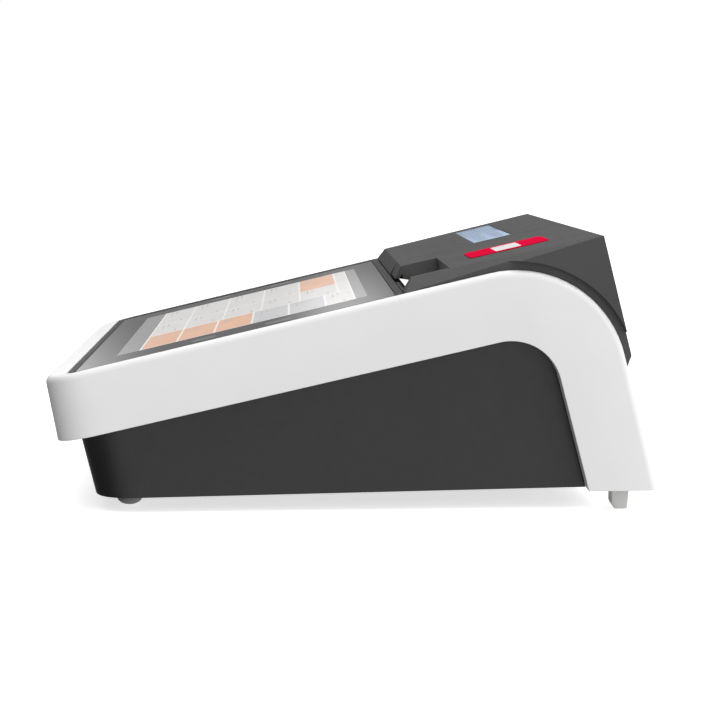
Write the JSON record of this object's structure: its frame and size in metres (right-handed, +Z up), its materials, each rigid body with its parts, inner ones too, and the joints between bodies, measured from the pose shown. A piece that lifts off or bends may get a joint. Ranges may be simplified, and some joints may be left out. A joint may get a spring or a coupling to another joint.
{
  "type": "cash register",
  "caption": "Compact touch-screen cash register with a sloping screen, a rear receipt printer under a hinged paper lid and a customer display.",
  "frame": {"origin": "on the ground at the centre of the footprint's box", "axes": "+X to the cashier's right, +Y to the rear, +Z up"},
  "size_m": [0.23, 0.2814, 0.1272],
  "materials": {
    "white_plastic": "satin",
    "dark_plastic": "fine texture",
    "housing_plastic": "fine texture",
    "bezel_plastic": "satin",
    "screen_glass": "polished",
    "black_plastic": "matt",
    "steel": "brushed",
    "aluminium": "satin",
    "circuit_board": "satin",
    "rubber": "matt",
    "foot_plastic": "matt",
    "gear_nylon": "satin",
    "paper": "matt",
    "card": "matt",
    "red_label": "gloss",
    "display_window": "polished",
    "head_ceramic": "satin"
  },
  "bodies": {
    "base": {"side_frame": "white_plastic", "base_casing": "dark_plastic", "bottom_cover": "dark_plastic", "front_foot_left": "rubber", "front_foot_right": "rubber", "rear_foot_left": "foot_plastic", "rear_foot_right": "foot_plastic", "screen_bezel": "bezel_plastic", "touch_glass": "screen_glass", "lcd_panel": "black_plastic", "display_bracket": "steel", "main_board": "circuit_board", "processor_heatsink": "aluminium", "speaker": "black_plastic", "dc_inlet": "black_plastic", "usb_port": "steel", "lan_port": "steel", "drawer_port": "black_plastic", "switch_housing": "black_plastic", "printer_housing": "housing_plastic", "lid_hinge_pin": "steel", "paper_bay": "black_plastic", "receipt_paper": "paper", "idler_axle": "steel", "feed_motor": "aluminium", "head_pivot_pin": "steel", "paper_exit_tray": "housing_plastic", "tear_bar": "steel", "customer_display_window": "display_window", "customer_display_module": "black_plastic", "customer_display_board": "circuit_board", "cover_screw_1": "steel", "cover_screw_2": "steel", "cover_screw_3": "steel", "cover_screw_4": "steel"},
    "lid": {"paper_lid": "housing_plastic", "lid_badge": "red_label"},
    "platen": {"platen_roller": "rubber", "platen_shaft": "steel", "platen_gear": "gear_nylon"},
    "idler": {"idler_gear": "gear_nylon"},
    "pinion": {"motor_pinion": "gear_nylon"},
    "roll": {"paper_roll": "paper", "roll_core": "card"},
    "head": {"print_head": "head_ceramic", "print_head_bracket": "aluminium"},
    "rocker": {"power_rocker": "black_plastic"}
  },
  "joints": [
    {"name": "lid_hinge", "type": "hinge", "parent": "base", "child": "lid", "pos_m": [0.057, 0.10962, 0.12028], "axis": [-1, 0, 0], "range_deg": [0, 110]},
    {"name": "platen_spin", "type": "hinge", "parent": "lid", "child": "platen", "pos_m": [0.0645, 0.05499, 0.10144], "axis": [1, 0, 0], "continuous": true},
    {"name": "idler_spin", "type": "hinge", "parent": "base", "child": "idler", "pos_m": [0.0288, 0.05829, 0.08743], "axis": [1, 0, 0], "continuous": true},
    {"name": "pinion_spin", "type": "hinge", "parent": "base", "child": "pinion", "pos_m": [0.0288, 0.07036, 0.0838], "axis": [1, 0, 0], "continuous": true},
    {"name": "roll_spin", "type": "hinge", "parent": "base", "child": "roll", "pos_m": [0.0645, 0.08801, 0.09299], "axis": [1, 0, 0], "continuous": true},
    {"name": "head_tilt", "type": "hinge", "parent": "base", "child": "head", "pos_m": [0.0645, 0.05165, 0.0873], "axis": [-1, 0, 0], "range_deg": [0, 3], "stiffness_Nm_per_rad": 0.5, "springref_deg": -20.05},
    {"name": "power_switch", "type": "hinge", "parent": "base", "child": "rocker", "pos_m": [-0.074, 0.1158, 0.03], "axis": [0, 0, 1], "range_deg": [0, 16]}
  ],
  "couplings": [
    {"joint": "idler_spin", "follows": "platen_spin", "ratio": -0.71429},
    {"joint": "pinion_spin", "follows": "platen_spin", "ratio": 1.4286},
    {"joint": "roll_spin", "follows": "platen_spin", "ratio": 0.20833}
  ]
}
